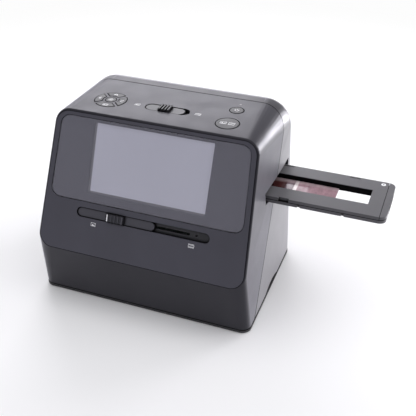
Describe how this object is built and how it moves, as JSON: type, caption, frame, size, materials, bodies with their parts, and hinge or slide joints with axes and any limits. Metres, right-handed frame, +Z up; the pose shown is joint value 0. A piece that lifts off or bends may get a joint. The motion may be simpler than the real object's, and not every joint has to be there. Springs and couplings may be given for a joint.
{
  "type": "photo and film scanner",
  "caption": "Desktop scanner for prints and film strips: sloping screen front, control buttons on top, sliding backlight selector and a film holder that slides through the sides.",
  "frame": {"origin": "on the table under the centre of the base's footprint", "axes": "+X to the user's right along the film path, +Y to the back, +Z up"},
  "size_m": [0.302, 0.1453, 0.1719],
  "materials": {
    "shell": "satin moulded charcoal",
    "base": "fine matte texture",
    "rubber": "matte",
    "steel": "plain",
    "clear_glass": "polished",
    "panel": "satin",
    "window": "polished, dark border printed behind",
    "display": "unlit screen",
    "dark_plastic": "matte",
    "slider": "satin",
    "diffuser": "milky",
    "white_board": "white solder mask",
    "barrel": "matte black",
    "circuit_board": "solder mask",
    "light_pipe": "clear, unlit",
    "button": "satin",
    "holder": "satin",
    "film": "translucent film"
  },
  "bodies": {
    "housing": {"front_shell": "shell", "rear_shell": "shell", "base_plate": "base", "finger_cups": "base", "rubber_feet": "rubber", "case_screws": "steel", "print_glass": "clear_glass", "front_panel": "panel", "screen_window": "window", "display_module": "display", "slider_channel": "dark_plastic", "film_chassis": "dark_plastic", "film_rails": "dark_plastic", "guide_rods": "steel", "detent_spring": "steel", "camera_tower": "dark_plastic", "lens_barrel": "barrel", "front_lens": "clear_glass", "sensor_board": "circuit_board", "main_board": "circuit_board", "data_port": "steel", "card_socket": "steel", "print_lights": "white_board", "button_board": "circuit_board", "push_switches": "steel", "switch_tray": "dark_plastic", "switch_body": "steel", "status_light": "light_pipe"},
    "selector": {"selector_slider": "slider", "light_carriage": "dark_plastic", "diffuser": "diffuser", "backlight_board": "white_board"},
    "mode_switch": {"switch_knob": "slider"},
    "right_key": {"button_right": "button"},
    "up_key": {"button_up": "button"},
    "left_key": {"button_left": "button"},
    "down_key": {"button_down": "button"},
    "middle_key": {"button_middle": "button"},
    "power_key": {"power_button": "button"},
    "scan_key": {"scan_button": "button"},
    "film_holder": {"holder_base": "holder", "holder_lid": "holder", "lid_magnet": "steel", "holder_hinges": "dark_plastic", "film_strip": "film"}
  },
  "joints": [
    {"name": "selector_slide", "type": "slide", "parent": "housing", "child": "selector", "axis": [1, 0, 0], "range_m": [0, 0.049]},
    {"name": "mode_slide", "type": "slide", "parent": "housing", "child": "mode_switch", "axis": [1, 0, 0], "range_m": [0, 0.004]},
    {"name": "right_press", "type": "slide", "parent": "housing", "child": "right_key", "axis": [0, 0, -1], "range_m": [0, 0.0009], "stiffness_N_per_m": 600, "springref_m": -0.0005},
    {"name": "up_press", "type": "slide", "parent": "housing", "child": "up_key", "axis": [0, 0, -1], "range_m": [0, 0.0009], "stiffness_N_per_m": 600, "springref_m": -0.0005},
    {"name": "left_press", "type": "slide", "parent": "housing", "child": "left_key", "axis": [0, 0, -1], "range_m": [0, 0.0009], "stiffness_N_per_m": 600, "springref_m": -0.0005},
    {"name": "down_press", "type": "slide", "parent": "housing", "child": "down_key", "axis": [0, 0, -1], "range_m": [0, 0.0009], "stiffness_N_per_m": 600, "springref_m": -0.0005},
    {"name": "middle_press", "type": "slide", "parent": "housing", "child": "middle_key", "axis": [0, 0, -1], "range_m": [0, 0.0009], "stiffness_N_per_m": 600, "springref_m": -0.0005},
    {"name": "power_press", "type": "slide", "parent": "housing", "child": "power_key", "axis": [0, 0, -1], "range_m": [0, 0.0009], "stiffness_N_per_m": 600, "springref_m": -0.0005},
    {"name": "scan_press", "type": "slide", "parent": "housing", "child": "scan_key", "axis": [0, 0, -1], "range_m": [0, 0.0009], "stiffness_N_per_m": 600, "springref_m": -0.0005},
    {"name": "holder_slide", "type": "slide", "parent": "housing", "child": "film_holder", "axis": [1, 0, 0], "range_m": [-0.162, 0.07]}
  ]
}
